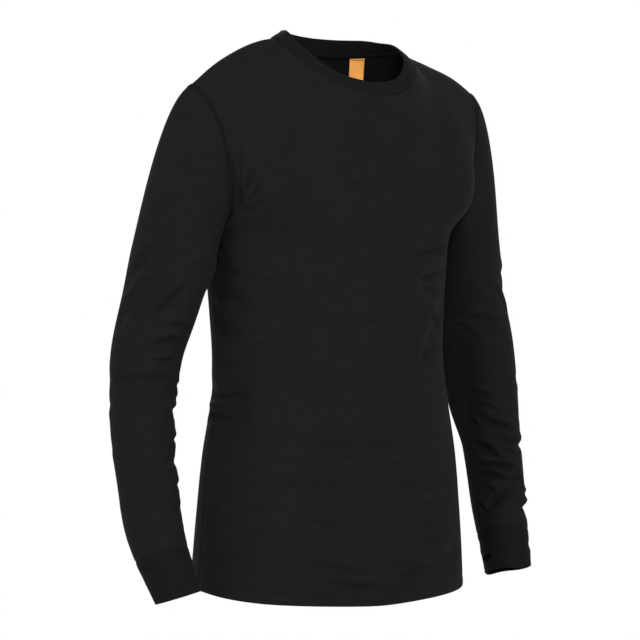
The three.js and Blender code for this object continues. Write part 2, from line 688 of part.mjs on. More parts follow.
const garment = new THREE.Group();
function add(name, geometry, material) {
  const mesh = new THREE.Mesh(geometry, material);
  mesh.name = name;
  garment.add(mesh);
}

const frontGrid = bodyGrid(FRONT);
const backGrid = bodyGrid(BACK);
add("front_panel", panelWall(frontGrid), knit());
add("back_panel", panelWall(backGrid), knit());
add("right_sleeve", sleeveGeometry(-1, RIGHT_FOLDS), knit());
add("left_sleeve", sleeveGeometry(1, LEFT_FOLDS), knit());
add("right_cuff", cuffGeometry(-1), rib());
add("left_cuff", cuffGeometry(1), rib());
add("neckband", bandGeometry(), rib());
add("neck_label", labelGeometry(backGrid), labelCloth());

export default garment;
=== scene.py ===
"""A close-fitting, long-sleeved, crew-necked base layer top of fine black knit, standing as it is worn.

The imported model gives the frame. Each cut piece is a thin shell of cloth on the same form as its solid,
with the finer creases added, and the sewing lies on the shells. Tables are in millimetres and degrees;
meshes are in metres. The wearer faces -Y, and their left is +X.
"""

import math

import bpy
import numpy as np
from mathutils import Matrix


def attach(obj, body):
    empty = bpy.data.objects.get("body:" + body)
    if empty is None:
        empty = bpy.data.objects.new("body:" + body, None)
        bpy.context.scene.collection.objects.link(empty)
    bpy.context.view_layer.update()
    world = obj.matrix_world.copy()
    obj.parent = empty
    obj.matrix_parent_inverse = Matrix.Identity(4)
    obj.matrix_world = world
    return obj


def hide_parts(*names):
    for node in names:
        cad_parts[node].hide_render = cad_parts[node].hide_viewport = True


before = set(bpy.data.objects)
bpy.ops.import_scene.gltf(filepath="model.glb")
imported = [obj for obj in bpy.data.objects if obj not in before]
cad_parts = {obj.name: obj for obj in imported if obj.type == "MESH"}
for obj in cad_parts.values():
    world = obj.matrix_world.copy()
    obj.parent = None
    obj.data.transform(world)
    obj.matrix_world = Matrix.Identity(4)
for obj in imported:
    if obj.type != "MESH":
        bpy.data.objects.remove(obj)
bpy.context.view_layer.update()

MM = 0.001

# Sizes, as in the solids
ARMPIT_Z = -232
NECK_HALF = 100
NECK_DEPTH = 75
NECK_Y = -29
BAND_WIDTH = 22
NECK_CORNER = 103
SIDE_SEAM = 97
NECK_SHIFT = 3
NECK_TILT = 0.06
ARMHOLE_TOP = 214
NECK_SHARE = 0.54
CORNER_SPREAD = 0.2
ARM_TOP = -268
CUFF_TOP = -629
CUFF_END = -680
BODY_RADIUS = 150
ARM_RADIUS = 45
BODY_LENGTH = 460  # hem to armpit
PANEL_HALF = 240  # from the middle of a panel to its side seam
PANEL_RISE = 215  # armpit to top edge
CAP_LENGTH = 120
ARM_LENGTH = ARM_TOP - CUFF_TOP
CUFF_LENGTH = CUFF_TOP - CUFF_END
CUFF_DEGREE = math.radians(31.5)  # millimetres round a cuff to one degree

CLOTH = 1.0
CUFF_WALL = 2.0
BAND_WALL = 2.2
HEM_ROUND = 14  # degrees over which the lowest part of the hem is rounded
HEM_ROWS = (10.8, 13.4)  # stitched rows above the edge of the hem
JOIN_ROW = 2.4  # stitched row above the seam of the cuff
LADDER_STEPS = 120  # crossings of the thread over an armhole seam
BODY_GAIN = 3.2
ARM_GAIN = {-1: 2.4, 1: 2.8}
CUFF_RAISE = 0.16  # how far the left cuff has ridden up at its outer side, by its length
THUMB_HOLE = (187, -664, 12.5, 4)  # turn, height, half length, half height
THUMB_SEAM = ((178, -629), (168, -635), (157, -645), (154, -655), (156, -667), (160, -680))
THUMB_TUCK = ((166, -662), (157, -657), (148, -652))
LABEL_SHARE = -0.24
LABEL_RISE = 0.166
LABEL_WIDTH = 19.5
LABEL_WALL = 0.5
LABEL_OFFSET = 1.9
LABEL_SWING = (7, 6)  # to the wearer's left, at its top and more towards its end
LABEL_FALL = 6  # how far its end hangs free of the back

BODY = np.array([  # z, right, left, front, back, front square, back square
    (-710, 187, 186, 112, 139, 2.2, 2.35),
    (-650, 184, 183, 110, 134, 2.25, 2.35),
    (-594, 180, 179, 107, 128, 2.3, 2.35),
    (-520, 174, 172, 103, 118, 2.35, 2.35),
    (-460, 165, 163, 100, 111, 2.3, 2.35),
    (-400, 161, 157, 99, 107, 2.1, 2.35),
    (-340, 164, 159, 102, 110, 2, 2.35),
    (-280, 169, 164, 107, 115, 1.95, 2.35),
    (-232, 174, 169, 111, 118, 1.95, 2.35),
    (-200, 177, 173, 113, 119, 2, 2.35),
], float)

HEM = np.array([  # bearing, z
    (0, -701),
    (55, -693),
    (97, -682),
    (140, -692),
    (180, -699),
], float)

NECKLINE = np.array([  # turn, z
    (0, -66),
    (30, -56),
    (60, -29),
    (85, -6),
    (103, 2),
    (125, 0),
    (155, -5),
    (180, -7),
], float)

BAND_LEAN = np.array([  # turn, inward, up
    (0, 0.6, 0.8),
    (60, 0.66, 0.75),
    (105, 0.88, 0.48),
    (140, 0.5, 0.86),
    (180, 0.25, 0.97),
], float)

SHOULDER = np.array([  # along, x, y, z
    (0, 97.4, -12.1, 2),
    (0.15, 113, -11.5, -2),
    (0.4, 142, -10.5, -12.5),
    (0.72, 180, -9, -30.5),
    (1, ARMHOLE_TOP, -8, -54),
], float)

FRONT_ARRIVAL = np.array([  # share, x, y, z, strength
    (0, 0, 0.4, 0.92, 1),
    (0.22, -0.2, 0.45, 0.87, 1),
    (0.42, -0.5, 0.55, 0.67, 0.95),
    (0.58, -0.5, 0.72, 0.48, 0.85),
    (0.7, -0.3, 0.9, 0.28, 0.75),
    (0.85, -0.1, 1, 0.05, 0.7),
    (1, 0, 1, 0, 0.7),
], float)

BACK_ARRIVAL = np.array([
    (0, 0, -0.6, 0.8, 1),
    (0.22, -0.2, -0.62, 0.76, 1),
    (0.42, -0.45, -0.7, 0.55, 0.95),
    (0.58, -0.42, -0.85, 0.32, 0.88),
    (0.7, -0.25, -0.95, 0.15, 0.8),
    (0.85, -0.08, -1, 0, 0.75),
    (1, 0, -1, 0, 0.75),
], float)

LEAVING = np.array([  # turn, x, y, z, strength
    (0, 0.88, 0.07, -0.47, 0.55),
    (90, 0.72, -0.1, -0.68, 0.8),
    (180, 0.36, -0.05, -0.93, 1),
    (270, 0.72, 0.2, -0.66, 0.8),
], float)

ARM = np.array([  # z, x, y, wide, deep, square
    (-680, 251.5, -40, 30, 30.5, 0.6),
    (-657, 256, -29, 31.5, 32, 0.7),
    (-629, 261, -15, 33.5, 34, 0.8),
    (-591, 265, -1, 36, 37, 1),
    (-541, 266, 10, 37.5, 38.5, 1),
    (-492, 266, 20, 39.5, 40.5, 1),
    (-443, 264, 25, 41, 43, 1),
    (-385, 256, 29, 44, 47, 1),
    (-319, 235.5, 29, 46.5, 55, 1),
    (-268, 223.5, 25, 48, 59, 1),
], float)

# Largest folds, as in the solids: angle1, z1, angle2, z2, width, depth
BODY_FOLDS = (
    (-106, -434, -80, -444, 13, 5),
    (-104, -469, -80, -456, 12, 4),
    (82, -440, 110, -431, 13, 4.5),
    (80, -462, 106, -473, 12, 3.5),
    (-93, -276, -79, -330, 12, 3.5),
    (-91, -345, -79, -384, 12, 3.5),
    (62, -340, 47, -384, 12, 4),
    (66, -283, 24, -272, 12, 3),
    (68, -314, 42, -306, 12, 3),
    (-52, -252, -26, -254, 22, 3),
    (18, -240, 46, -242, 22, 3),
    (-48, -612, 4, -643, 13, 3),
    (14, -655, 58, -640, 13, 3.5),
    (12, -681, 54, -661, 11, 3),
    (118, -446, 158, -462, 16, 4),
    (-122, -452, -160, -440, 16, 4),
    (128, -500, 196, -520, 18, 3),
    (150, -640, 215, -618, 14, 3),
    (120, -290, 142, -330, 14, 4),
    (-118, -286, -140, -322, 14, 4),
)
RIGHT_FOLDS = (
    (108, -266, 124, -284, 22, -7),
    (24, -256, -14, -298, 10, 3),
    (68, -268, -6, -342, 10, 3.5),
    (92, -284, 50, -338, 10, 3),
    (122, -383, 72, -377, 13, 6),
    (-20, -418, 116, -418, 9, 2),
    (160, -300, 210, -330, 12, 3),
    (190, -455, 120, -462, 10, 3),
    (190, -520, 130, -512, 10, 3),
    (230, -400, 300, -420, 14, 3),
)
LEFT_FOLDS = (
    (112, -262, 126, -280, 23, -4),
    (24, -262, -18, -300, 10, 2.5),
    (70, -290, 0, -350, 10, 2.5),
    (152, -372, 110, -366, 13, 5),
    (175, -466, 118, -492, 10, 3.5),
    (180, -505, 106, -536, 10, 3.5),
    (185, -548, 60, -560, 10, 5),
    (160, -596, 84, -572, 9, 4),
    (60, -608, 20, -600, 9, 3),
    (230, -396, 300, -424, 14, 3),
)

# Finer creases: angle1, z1, angle2, z2, bow, width, depth. bow bends the crease sideways at its middle;
# a depth below zero is a ridge.
BODY_CREASES = (
    # near waist
    (-112, -440, -75, -436, 4, 5, 1.6),
    (-108, -452, -74, -447, -3, 5, -1.1),
    (-112, -459, -77, -471, 3, 5, 1.9),
    (-104, -482, -72, -477, 4, 7, 0.9),
    # near armpit, a knot with creases that rise and spread from it
    (-74, -208, -71, -178, 1, 4.4, 2.8),
    (-74, -202, -75, -140, 2, 2.8, 1.7),
    (-73, -202, -71, -126, 3, 2.8, 1.3),
    (-72, -203, -65, -150, 4, 3.2, 1.8),
    (-72, -206, -61, -172, 3, 3.4, 1.4),
    (-73, -212, -62, -196, 2, 3.8, 1.1),
    # near side, below the armpit
    (-96, -254, -70, -300, 6, 5.5, 1.0),
    (-98, -296, -64, -340, 5, 6, 0.8),
    (-98, -346, -76, -366, -3, 5.5, 0.9),
    (-98, -394, -70, -404, 3, 6, 0.9),
    # far side, a fan from the armpit
    (72, -256, 22, -272, 5, 4, 1.9),
    (68, -288, 34, -298, 3, 3.8, 1.9),
    (66, -318, 40, -310, 3, 4, 1.6),
    (68, -350, 38, -340, 3, 4, 1.6),
    (68, -376, 40, -400, 4, 4.6, 1.6),
    # level creases above the hem
    (-60, -492, -8, -500, 5, 7, 1.1),
    (-30, -514, 36, -508, -5, 8, 1.0),
    (-66, -542, -22, -552, 6, 7, 1.1),
    (6, -560, 60, -548, 5, 8, 1.0),
    (-62, -584, -12, -602, 6, 7, 1.2),
    (-46, -640, -6, -658, 5, 5.5, 1.7),
    (-40, -664, 6, -678, 5, 5, 1.5),
    (22, -626, 62, -612, 5, 6.5, 1.4),
    (8, -670, 46, -650, 4, 5, 1.6),
    # back
    (110, -424, 150, -430, 5, 10, 1.4),
    (-112, -430, -150, -424, 5, 10, 1.4),
    (140, -478, 205, -486, -6, 11, 1.4),
    (150, -540, 214, -534, 6, 12, 1.1),
    (138, -586, 190, -600, 6, 12, 1.1),
    (116, -262, 140, -292, 4, 8, 1.3),
    (-114, -258, -138, -290, 4, 8, 1.3),
    (112, -316, 134, -352, 4, 8, 1.2),
    (-112, -312, -134, -350, 4, 8, 1.2),
)
RIGHT_CREASES = (
    # from the shoulder seam and armpit down over the upper arm
    (40, -240, -6, -290, 3, 4.5, 1.3),
    (66, -258, 12, -318, 4, 5, 1.5),
    (96, -292, 50, -348, 3, 4.5, 1.5),
    (20, -300, -8, -345, 3, 5, 1.1),
    # elbow
    (136, -372, 56, -374, 4, 4.5, 2.6),
    (132, -388, 60, -390, -4, 4, 2.2),
    (126, -399, 84, -401, 3, 4, 1.6),
    (124, -416, -16, -418, 3, 4, 1.3),
    (134, -360, 70, -350, 3, 4.5, 1.4),
    # short ones from the inner edge, down the forearm
    (166, -425, 92, -431, 3, 3.2, 0.9),
    (158, -441, 116, -444, 2, 3, 0.7),
    (170, -455, 84, -461, 3, 3.4, 0.9),
    (156, -474, 100, -478, 3, 3, 0.8),
    (170, -494, 112, -489, 2, 3.4, 1.0),
    (162, -521, 90, -514, 3, 3.6, 0.9),
    (172, -545, 96, -556, 3, 4, 0.8),
    (160, -574, 84, -580, 3, 4, 0.8),
    (150, -603, 74, -608, 3, 4, 1.1),
    # outer side
    (-30, -388, 40, -384, 3, 5, 0.9),
    (-40, -446, 34, -452, 3, 5.5, 1.0),
    (-40, -500, 56, -508, -4, 6, 0.9),
    (-30, -560, 60, -566, 4, 6, 0.9),
    # back of the arm
    (250, -380, 320, -372, 4, 7, 1.3),
    (240, -436, 330, -446, 4, 7, 1.2),
    (232, -474, 300, -466, 4, 6, 1.2),
    (230, -520, 320, -530, 4, 7, 1.1),
    (226, -584, 310, -576, 4, 6, 1.2),
)
LEFT_CREASES = (
    # fuller inner side above the forearm's folds
    (214, -340, 214, -515, 0, 17, -4.1),
    (60, -276, 6, -318, 4, 5, 1.2),
    (92, -300, 40, -352, 4, 5, 1.2),
    (172, -352, 128, -376, 3, 4.5, 1.8),
    (150, -350, 84, -352, 3, 5, 1.2),
    # forearm, above the largest fold
    (178, -440, 112, -458, 3, 4, 1.9),
    (162, -460, 104, -472, 3, 3.8, 1.6),
    (184, -478, 150, -496, 3, 4.2, 2.4),
    (150, -484, 66, -500, 4, 4, 1.9),
    (176, -508, 104, -538, 4, 4, 2.3),
    (128, -508, 62, -514, 3, 4, 1.6),
    (120, -524, 70, -530, 3, 4, 1.5),
    # the largest fold and what hangs below it
    (186, -542, 62, -552, 7, 4, 3.0),
    (184, -556, 84, -566, 7, 4, 2.2),
    (172, -566, 128, -578, 3, 3.8, 1.8),
    (158, -598, 82, -570, 4, 4, 2.8),
    (100, -562, 50, -560, 3, 4, 1.7),
    # outer dent over the cuff, and small ones beside the seam
    (74, -604, 14, -594, 3, 4.5, 3.0),
    (70, -588, 24, -584, 3, 4, 1.5),
    (186, -588, 160, -606, 2, 4, 2.0),
    (140, -616, 80, -618, 3, 4, 1.3),
    (80, -524, 10, -516, 3, 5, 1.3),
    (-20, -420, 50, -428, 4, 6, 0.9),
    (-30, -480, 40, -476, 4, 6, 1.0),
    # back of the arm
    (240, -370, 320, -378, 4, 7, 1.3),
    (236, -450, 330, -440, 4, 7, 1.2),
    (228, -500, 316, -508, 4, 6, 1.2),
    (230, -560, 320, -550, 4, 7, 1.4),
    (226, -598, 300, -590, 4, 5, 1.4),
)
CUFF_CREASES = (
    (-40, -645, 60, -648, 2, 5, 0.6),
    (80, -660, 170, -652, 2, 5, 0.6),
    (200, -640, 300, -646, 2, 5, 0.6),
)


# Forms
def unit(vectors):
    return vectors / np.maximum(np.linalg.norm(vectors, axis=-1, keepdims=True), 1e-12)


def cubic(a, slope_a, b, slope_b, u):
    """A cubic from a to b with the given slopes at its ends."""
    v = 1 - u
    return a * (1 + 2 * u) * v * v + slope_a * u * v * v + b * u * u * (3 - 2 * u) - slope_b * u * u * v


def read(rows, at):
    """The columns of a table after its first, read between the rows as smooth curves."""
    keys, values = rows[:, 0], rows[:, 1:]
    place = np.clip(np.asarray(at, float), keys[0], keys[-1])
    last = len(keys) - 1
    i = np.clip(np.searchsorted(keys, place, side="left") - 1, 0, last - 1)
    before, after = np.maximum(i - 1, 0), np.minimum(i + 2, last)
    span = keys[i + 1] - keys[i]
    u = ((place - keys[i]) / span)[..., None]
    slope_a = (values[i + 1] - values[before]) * (span / (keys[i + 1] - keys[before]))[..., None]
    slope_b = (values[after] - values[i]) * (span / (keys[after] - keys[i]))[..., None]
    return cubic(values[i], slope_a, values[i + 1], slope_b, u)


def around(rows):
    """A table that goes once round, with rows added so that it can be read across its start."""
    lead, tail = rows[-2:].copy(), rows[:2].copy()
    lead[:, 0] -= 360
    tail[:, 0] += 360
    return np.concatenate([lead, rows, tail])


def smooth(start, end, at):
    u = np.clip((at - start) / (end - start), 0, 1)
    return u * u * (3 - 2 * u)


def signed(angle):
    return (angle + 180) % 360 - 180


def stack(*columns):
    return np.stack(np.broadcast_arrays(*columns), axis=-1)


def ring(bearing, z):
    size = read(BODY, z)
    sin, cos = np.sin(np.radians(bearing)), np.cos(np.radians(bearing))
    half = np.where(sin > 0, size[..., 1], size[..., 0])
    depth = np.where(cos > 0, size[..., 2], size[..., 3])
    square = size[..., 5] + (size[..., 4] - size[..., 5]) * smooth(-0.35, 0.35, cos)
    total = np.abs(sin / half) ** square + np.abs(cos / depth) ** square
    reach = total ** (-1 / square)
    return stack(reach * sin, -reach * cos, z)


def armhole(side):
    """Armhole of one side as if it were the wearer's left one, from the shoulder over the front."""
    x, y, z = ring(np.array(float(side * SIDE_SEAM)), np.array(float(ARMPIT_Z)))
    x = abs(x)
    return around(np.array([  # turn, x, y, z
        (0, ARMHOLE_TOP, -8, -54),
        (40, 201, -39, -88),
        (90, 188, -50, -140),
        (140, 176, -43, -201),
        (164, x + 2.5, -8, -225),
        (180, x, y, z),
        (225, 183, 60, -195),
        (270, 193, 58, -140),
        (320, 205, 31, -84),
    ], float))


ARMHOLE = {1: armhole(1), -1: armhole(-1)}
LEAVING = around(LEAVING)


def on_armhole(turn, side):
    return np.where(np.asarray(side > 0)[..., None], read(ARMHOLE[1], turn), read(ARMHOLE[-1], turn))


def settled(points):
    """Places near the neck, moved as the worn neck is, which fades out along the shoulder."""
    share = 1 - smooth(NECK_HALF, ARMHOLE_TOP, np.abs(points[..., 0]))
    return points - stack(NECK_SHIFT * share, 0.0, NECK_TILT * points[..., 0] * share)


def neckline(turn):
    angle = np.radians(turn)
    z = read(NECKLINE, np.abs(turn))[..., 0]
    return settled(stack(NECK_HALF * np.sin(angle), NECK_Y - NECK_DEPTH * np.cos(angle), z))


class Front:
    """The front panel. share runs from -1 to 1 across a panel, and level from 0 at the hem to 1 at the
    armpit and 2 at the top edge."""

    arrival = FRONT_ARRIVAL
    bearing = staticmethod(lambda share: share * SIDE_SEAM)
    neck_turn = staticmethod(lambda share: share / NECK_SHARE * NECK_CORNER)
    side = staticmethod(lambda share: np.where(share < 0, -1.0, 1.0))
    armhole_turn = staticmethod(lambda rise: 180 * (1 - rise))


class Back:
    arrival = BACK_ARRIVAL
    bearing = staticmethod(lambda share: 180 + share * (180 - SIDE_SEAM))
    neck_turn = staticmethod(
        lambda share: (180 - np.abs(share) / NECK_SHARE * (180 - NECK_CORNER))
        * np.where(share < 0, 1.0, -1.0)
    )
    side = staticmethod(lambda share: np.where(share < 0, 1.0, -1.0))
    armhole_turn = staticmethod(lambda rise: 180 * (1 + rise))


def mirrored(points, side):
    return points * stack(side, 1.0, 1.0)


def top_edge(panel, share):
    reach = np.abs(share)
    on_neck = neckline(panel.neck_turn(np.clip(share, -NECK_SHARE, NECK_SHARE)))
    along = (np.maximum(reach, NECK_SHARE) - NECK_SHARE) / (1 - NECK_SHARE)
    on_shoulder = settled(mirrored(read(SHOULDER, along), panel.side(share)))
    return np.where((reach <= NECK_SHARE)[..., None], on_neck, on_shoulder)


def soft_edge(panel, share):
    """The top edge with its corner at the neck rounded off."""
    reach = CORNER_SPREAD * smooth(0, 0.3, 1 - np.abs(share))
    return sum(top_edge(panel, share + reach * i / 3) for i in range(-3, 4)) / 7


def rise(panel, share, level):
    start = ring(panel.bearing(share), ARMPIT_Z + 0 * share)
    below = ring(panel.bearing(share), ARMPIT_Z - 5 + 0 * share)
    end = soft_edge(panel, share)
    length = np.linalg.norm(end - start, axis=-1, keepdims=True)
    arrival = read(panel.arrival, np.abs(share))
    arrive = unit(mirrored(arrival[..., :3], panel.side(share))) * length * arrival[..., 3:]
    return cubic(start, unit(start - below) * length, end, arrive, level[..., None])


def panel_form(panel, share, level):
    share, level = np.broadcast_arrays(np.asarray(share, float), np.asarray(level, float))
    bearing = panel.bearing(share)
    hem = read(HEM, np.hypot(signed(bearing), HEM_ROUND) - HEM_ROUND * 0.4)[..., 0]
    low = ring(bearing, hem + (ARMPIT_Z - hem) * np.minimum(level, 1))
    up = np.maximum(level - 1, 0)
    side = np.where(share < 0, -1.0, 1.0)
    high = rise(panel, share, up)
    high = high + (top_edge(panel, share) - soft_edge(panel, share)) * (up**4)[..., None]
    edge = mirrored(on_armhole(panel.armhole_turn(up), panel.side(share)), panel.side(share))
    high = high + (edge - rise(panel, side, up)) * smooth(0.35, 1, np.abs(share))[..., None]
    return np.where((level <= 1)[..., None], low, high)


def arm_ring(turn, z):
    turn, z = np.broadcast_arrays(np.asarray(turn, float), np.asarray(z, float))
    here = read(ARM, z)
    z_row = np.clip(z, ARM[0, 0], ARM[-1, 0])
    middle = stack(here[..., 0], here[..., 1], z_row)
    down = arm_down(z)
    across = np.array([1.0, 0, 0]) - down * down[..., :1]
    out = unit(across)
    forward = np.cross(down, out)
    forward = unit(forward * stack(1.0, 1.0, here[..., 4]))
    angle = np.radians(turn)[..., None]
    return middle + out * here[..., 2:3] * np.cos(angle) + forward * here[..., 3:4] * np.sin(angle)


def arm_down(z):
    def centre(at):
        row = read(ARM, at)
        return stack(row[..., 0], row[..., 1], np.clip(at, ARM[0, 0], ARM[-1, 0]))

    return unit(centre(np.asarray(z, float) - 4) - centre(np.asarray(z, float) + 4))


def sleeve_form(side, turn, level):
    turn, level = np.broadcast_arrays(np.asarray(turn, float), np.asarray(level, float))
    tube = arm_ring(turn, ARM_TOP + (CUFF_TOP - ARM_TOP) * np.maximum(level - 1, 0))
    start = read(ARMHOLE[side], turn)
    end = arm_ring(turn, ARM_TOP + 0 * turn)
    length = np.linalg.norm(end - start, axis=-1, keepdims=True)
    leaving = read(LEAVING, turn)
    leave = unit(leaving[..., :3]) * length * leaving[..., 3:]
    arrive = arm_down(ARM_TOP) * length
    cap = cubic(start, leave, end, arrive, np.minimum(level, 1)[..., None])
    return np.where((level >= 1)[..., None], tube, cap)


def cuff_form(turn, level):
    return arm_ring(turn, CUFF_TOP + (CUFF_END - CUFF_TOP) * np.asarray(level, float))


def band_form(turn, level):
    turn, level = np.broadcast_arrays(np.asarray(turn, float), np.asarray(level, float))
    turn = signed(turn)
    lean = read(BAND_LEAN, np.abs(turn))
    angle = np.radians(turn)
    inward = unit(stack(-np.sin(angle) / NECK_HALF, np.cos(angle) / NECK_DEPTH, 0.0))
    width = (BAND_WIDTH * level)[..., None]
    return neckline(turn) + inward * width * lean[..., :1] + width * lean[..., 1:] * np.array([0, 0, 1.0])


def outward(form, u, v, step_u, step_v):
    along_u = form(u + step_u, v) - form(u - step_u, v)
    along_v = form(u, v + step_v) - form(u, v - step_v)
    return unit(np.cross(along_u, along_v))


# Folds and creases
def fold_depth(folds, angle, z, radius):
    """How far in the large folds draw the cloth, in millimetres, as in the solids."""
    per_degree = math.radians(radius)
    depth = np.zeros(np.shape(z))
    for angle1, z1, angle2, z2, width, deep in folds:
        ax, az = signed(angle1 - angle) * per_degree, z1 - z
        dx, dz = (angle2 - angle1) * per_degree, z2 - z1
        along = np.clip(-(ax * dx + az * dz) / (dx * dx + dz * dz), 0, 1)
        distance = np.hypot(ax + along * dx, az + along * dz)
        depth += deep * np.exp(-((distance / width) ** 2))
    return depth


def crease_depth(creases, angle, z, radius):
    """The same for the finer creases: each is bowed, fades towards its ends and has a low ridge beside it."""
    per_degree = math.radians(radius)
    depth = np.zeros(np.shape(z))
    for angle1, z1, angle2, z2, bow, width, deep in creases:
        dx, dz = (angle2 - angle1) * per_degree, z2 - z1
        length = math.hypot(dx, dz)
        px, pz = -signed(angle1 - angle) * per_degree, z - z1
        along = (px * dx + pz * dz) / length**2
        across = (px * dz - pz * dx) / length - 4 * bow * along * (1 - along)
        fade = smooth(-0.05, 0.35, along) * (1 - smooth(0.65, 1.05, along))
        trough = np.exp(-((across / width) ** 2))
        ridge = np.exp(-(((across - 1.9 * width) / (1.1 * width)) ** 2))
        depth += deep * fade * (trough - 0.45 * ridge)
    return depth


def push(points, normals, by):
    return points + normals * np.asarray(by)[..., None]


def dip(distance, width=1.3, depth=0.7):
    """The groove that a sewn edge makes, by the distance from it."""
    return depth * np.exp(-((distance / width) ** 2))


def rounding(distance, radius):
    """How far a folded edge has drawn in at a distance from its fold."""
    short = np.clip(radius - distance, 0, radius)
    return radius - np.sqrt(radius**2 - short**2)


def panel_depth(panel, share, level, point):
    """How far in the cloth of a panel lies from its form: folds, creases, sewn edges and hem."""
    bearing = np.degrees(np.arctan2(point[..., 0], -point[..., 1]))
    to_side = 1 - np.abs(share)
    by_armhole = smooth(1, 1.04, level) * (1 - smooth(0, 0.03, to_side))
    creases = BODY_GAIN * crease_depth(BODY_CREASES, bearing, point[..., 2], BODY_RADIUS)
    creases = creases * (1 - by_armhole) * (1 - smooth(-70, -40, point[..., 2]))
    depth = fold_depth(BODY_FOLDS, signed(panel.bearing(share)), point[..., 2], BODY_RADIUS) + creases
    depth += dip(to_side * PANEL_HALF) * (1 - smooth(0.97, 1.03, level)) + dip((2 - level) * PANEL_RISE)
    above = level * BODY_LENGTH
    turned = smooth(0, 4, above) * (1 - smooth(8, 11, above))
    return depth + sum(dip(above - row, 0.9, 0.5) for row in HEM_ROWS) - 0.3 * turned


def panel_surface(panel, share, level):
    """The outer face of a panel with its folds, and its outward direction."""
    share, level = np.broadcast_arrays(np.asarray(share, float), np.asarray(level, float))
    step = 0.004
    u, v = np.clip(share, -1 + step, 1 - step), np.clip(level, step, 2 - step)
    normal = outward(lambda a, b: panel_form(panel, a, b), u, v, step, step)
    point = panel_form(panel, share, level)
    return push(point, normal, -panel_depth(panel, share, level, point)), normal


def blur(places, width):
    """Weights that even out values at places, without drawing in what is broad."""
    weight = np.exp(-0.5 * ((places[:, None] - places[None, :]) / width) ** 2) * np.gradient(places)[None, :]
    weight /= weight.sum(axis=1, keepdims=True)
    return 2 * weight - weight @ weight


def eased(points, share, level):
    """The grid of a panel's form, evened out over the chest and shoulder blades but not at its edges."""
    up = np.where(level < 1, level * BODY_LENGTH, BODY_LENGTH + (level - 1) * PANEL_RISE)
    even = np.einsum("ij,jkc->ikc", blur(up, 20), points)
    even = np.einsum("ij,kjc->kic", blur(share * PANEL_HALF, 26), even)
    part = smooth(0.84, 1.06, level) * smooth(0.02, 0.24, 2 - level)
    return points + (even - points) * (part[:, None] * smooth(0.02, 0.2, 1 - np.abs(share)))[..., None]


def grid_normals(points):
    return unit(np.cross(np.gradient(points, axis=1), np.gradient(points, axis=0)))


def sleeve_surface(side, turn, level):
    turn, level = np.broadcast_arrays(np.asarray(turn, float), np.asarray(level, float))
    step = 0.004
    normal = outward(lambda u, v: sleeve_form(side, u, v), turn, np.clip(level, step, 2 - step), 0.5, step)
    point = sleeve_form(side, turn, level)
    folds, creases = (LEFT_FOLDS, LEFT_CREASES) if side > 0 else (RIGHT_FOLDS, RIGHT_CREASES)
    fade = smooth(0, 0.25, level) * (1 - smooth(1.93, 2, level))
    depth = fold_depth(folds, np.where(turn > 180, turn - 360, turn), point[..., 2], ARM_RADIUS)
    depth = depth + ARM_GAIN[side] * crease_depth(creases, signed(turn), point[..., 2], ARM_RADIUS)
    depth = fade * depth + dip((2 - level) * ARM_LENGTH)
    depth += dip(np.radians(signed(turn - 180)) * ARM_RADIUS) * smooth(0, 0.04, level)
    depth += dip((2 - level) * ARM_LENGTH - JOIN_ROW, 0.9, 0.35)
    return mirrored(point - normal * depth[..., None], side), mirrored(normal, side)


def line_distance(line, turn, z):
    """Distance on a cuff from a line through some places, each a turn and a height."""
    best = np.full(np.shape(z), 1e9)
    for (turn1, z1), (turn2, z2) in zip(line, line[1:]):
        dx, dz = (turn2 - turn1) * CUFF_DEGREE, z2 - z1
        ax, az = signed(turn - turn1) * CUFF_DEGREE, z - z1
        along = np.clip((ax * dx + az * dz) / (dx * dx + dz * dz), 0, 1)
        best = np.minimum(best, np.hypot(ax - along * dx, az - along * dz))
    return best


def cuff_surface(side, turn, level):
    turn, level = np.broadcast_arrays(np.asarray(turn, float), np.asarray(level, float))
    normal = outward(cuff_form, turn, np.clip(level, 0.01, 0.99), 0.5, 0.01)
    raised = CUFF_RAISE * smooth(-0.3, 0.9, np.cos(np.radians(turn - 345))) * smooth(0.3, 1, level)
    point = cuff_form(turn, level - raised * max(side, 0))
    z = CUFF_TOP + (CUFF_END - CUFF_TOP) * level
    depth = ARM_GAIN[side] * crease_depth(CUFF_CREASES, signed(turn), z, ARM_RADIUS)
    depth += dip(level * CUFF_LENGTH) + dip(line_distance(THUMB_SEAM, turn, z), 1.1, 0.8)
    depth += dip(line_distance(THUMB_TUCK, turn, z), 1.1, 0.6)
    return mirrored(point - normal * depth[..., None], side), mirrored(normal, side)


# Meshes
def make_mesh(name, points, faces, cloth=None):
    mesh = bpy.data.meshes.new(name)
    mesh.from_pydata((np.asarray(points) * MM).tolist(), [], np.asarray(faces).tolist())
    mesh.validate()
    mesh.shade_smooth()
    if cloth is not None:
        layer = mesh.attributes.new("cloth", "FLOAT_VECTOR", "POINT")
        layer.data.foreach_set("vector", (np.asarray(cloth) * MM).ravel())
    obj = bpy.data.objects.new(name, mesh)
    bpy.context.scene.collection.objects.link(obj)
    return obj


def quads(a, b, c, d):
    return np.stack([a, b, c, d], axis=-1).reshape(-1, 4)


def sheets(number, shift):
    """Both faces of a wall over a grid of point numbers."""
    a, b, c, d = number[:-1, :-1], number[:-1, 1:], number[1:, 1:], number[1:, :-1]
    return [quads(a, b, c, d), quads(a, d, c, b) + shift]


def rim(line, shift):
    return quads(line[1:], line[:-1], line[:-1] + shift, line[1:] + shift)


